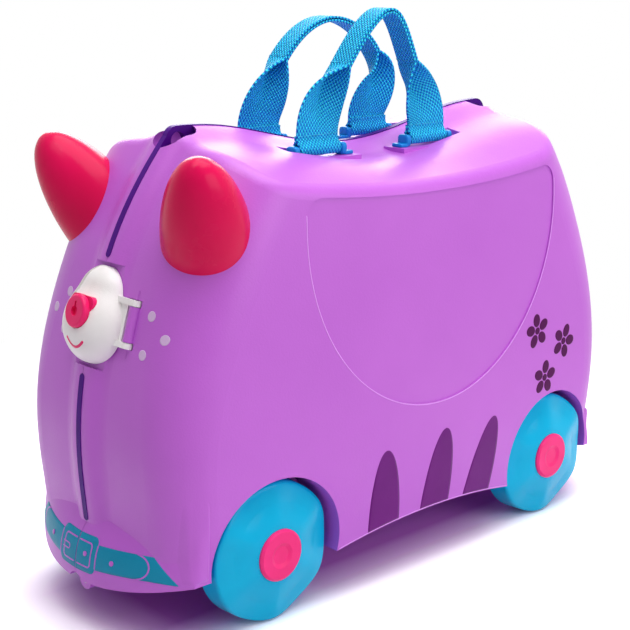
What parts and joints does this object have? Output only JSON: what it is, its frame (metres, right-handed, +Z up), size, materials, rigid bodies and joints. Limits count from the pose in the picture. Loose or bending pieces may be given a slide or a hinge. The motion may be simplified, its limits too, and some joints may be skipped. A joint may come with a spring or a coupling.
{
  "type": "ride-on suitcase",
  "caption": "Child's ride-on hard case that opens in two moulded halves, with a saddle top, horn grips, front and rear lockable catches, rolling wheels and webbing carry handles.",
  "frame": {"origin": "centre of the bounding box on the floor under the wheels", "axes": "+X forward towards the horned end, +Y to the rider's left, +Z up from the floor"},
  "size_m": [0.4542, 0.1882, 0.3804],
  "materials": {
    "body_plastic": "satin moulded lilac",
    "trim_rubber": "satin dark purple",
    "horn_plastic": "gloss pink",
    "wheel_plastic": "gloss blue",
    "hub_plastic": "gloss pink",
    "catch_plastic": "satin white",
    "knob_plastic": "gloss pink",
    "webbing": "woven blue",
    "anchor_plastic": "satin blue",
    "inner_plastic": "matte white",
    "steel": "bright"
  },
  "bodies": {
    "left_half": {"left_shell": "body_plastic", "front_hinge_pin": "steel", "rear_hinge_pin": "steel", "top_trim": "trim_rubber", "front_upper_trim": "trim_rubber", "rear_upper_trim": "trim_rubber", "front_lower_trim": "trim_rubber", "rear_lower_trim": "trim_rubber", "front_tow_eye": "trim_rubber", "rear_tow_eye": "trim_rubber", "left_horn": "horn_plastic", "left_horn_screw": "steel", "front_left_axle": "steel", "front_left_axle_clip": "steel", "rear_left_axle": "steel", "rear_left_axle_clip": "steel", "front_left_anchor": "anchor_plastic", "rear_left_anchor": "anchor_plastic", "front_catch_pin": "steel", "rear_catch_pin": "steel"},
    "right_half": {"right_shell": "body_plastic", "right_horn": "horn_plastic", "right_horn_screw": "steel", "front_right_axle": "steel", "front_right_axle_clip": "steel", "rear_right_axle": "steel", "rear_right_axle_clip": "steel", "front_right_anchor": "anchor_plastic", "rear_right_anchor": "anchor_plastic", "front_keeper": "inner_plastic", "rear_keeper": "inner_plastic"},
    "front_catch": {"front_catch_cover": "catch_plastic", "front_nose_pad": "knob_plastic"},
    "rear_catch": {"rear_catch_cover": "catch_plastic"},
    "front_lock": {"front_lock_knob": "knob_plastic", "front_lock_cam": "inner_plastic"},
    "rear_lock": {"rear_lock_knob": "knob_plastic", "rear_lock_cam": "inner_plastic"},
    "left_handle": {"left_strap": "webbing"},
    "right_handle": {"right_strap": "webbing"},
    "front_left_wheel": {"front_left_wheel": "wheel_plastic", "front_left_hub_cap": "hub_plastic"},
    "front_right_wheel": {"front_right_wheel": "wheel_plastic", "front_right_hub_cap": "hub_plastic"},
    "rear_left_wheel": {"rear_left_wheel": "wheel_plastic", "rear_left_hub_cap": "hub_plastic"},
    "rear_right_wheel": {"rear_right_wheel": "wheel_plastic", "rear_right_hub_cap": "hub_plastic"}
  },
  "joints": [
    {"name": "case_open", "type": "hinge", "parent": "left_half", "child": "right_half", "pos_m": [0, 0, 0.026], "axis": [1, 0, 0], "range_deg": [0, 120]},
    {"name": "front_left_wheel_roll", "type": "hinge", "parent": "left_half", "child": "front_left_wheel", "pos_m": [0.1323, 0.075, 0.047], "axis": [0, 1, 0], "continuous": true},
    {"name": "front_right_wheel_roll", "type": "hinge", "parent": "right_half", "child": "front_right_wheel", "pos_m": [0.1323, -0.075, 0.047], "axis": [0, 1, 0], "continuous": true},
    {"name": "rear_left_wheel_roll", "type": "hinge", "parent": "left_half", "child": "rear_left_wheel", "pos_m": [-0.1403, 0.075, 0.047], "axis": [0, 1, 0], "continuous": true},
    {"name": "rear_right_wheel_roll", "type": "hinge", "parent": "right_half", "child": "rear_right_wheel", "pos_m": [-0.1403, -0.075, 0.047], "axis": [0, 1, 0], "continuous": true},
    {"name": "front_catch_open", "type": "hinge", "parent": "left_half", "child": "front_catch", "pos_m": [0.20171, 0.034, 0.19858], "axis": [-0.2839, 0, 0.9589], "range_deg": [0, 110]},
    {"name": "rear_catch_open", "type": "hinge", "parent": "left_half", "child": "rear_catch", "pos_m": [-0.20171, 0.034, 0.19858], "axis": [-0.2839, 0, -0.9589], "range_deg": [0, 110]},
    {"name": "front_lock_turn", "type": "hinge", "parent": "front_catch", "child": "front_lock", "pos_m": [0.2065, 0, 0.2], "axis": [0.9589, 0, 0.2839], "range_deg": [0, 90]},
    {"name": "rear_lock_turn", "type": "hinge", "parent": "rear_catch", "child": "rear_lock", "pos_m": [-0.2065, 0, 0.2], "axis": [0.9589, 0, -0.2839], "range_deg": [0, 90]},
    {"name": "left_handle_swing", "type": "hinge", "parent": "left_half", "child": "left_handle", "pos_m": [-0.004, 0.03, 0.2914], "axis": [-1, 0, 0], "range_deg": [-10, 80]},
    {"name": "right_handle_swing", "type": "hinge", "parent": "right_half", "child": "right_handle", "pos_m": [-0.004, -0.03, 0.2914], "axis": [1, 0, 0], "range_deg": [-10, 80]}
  ]
}
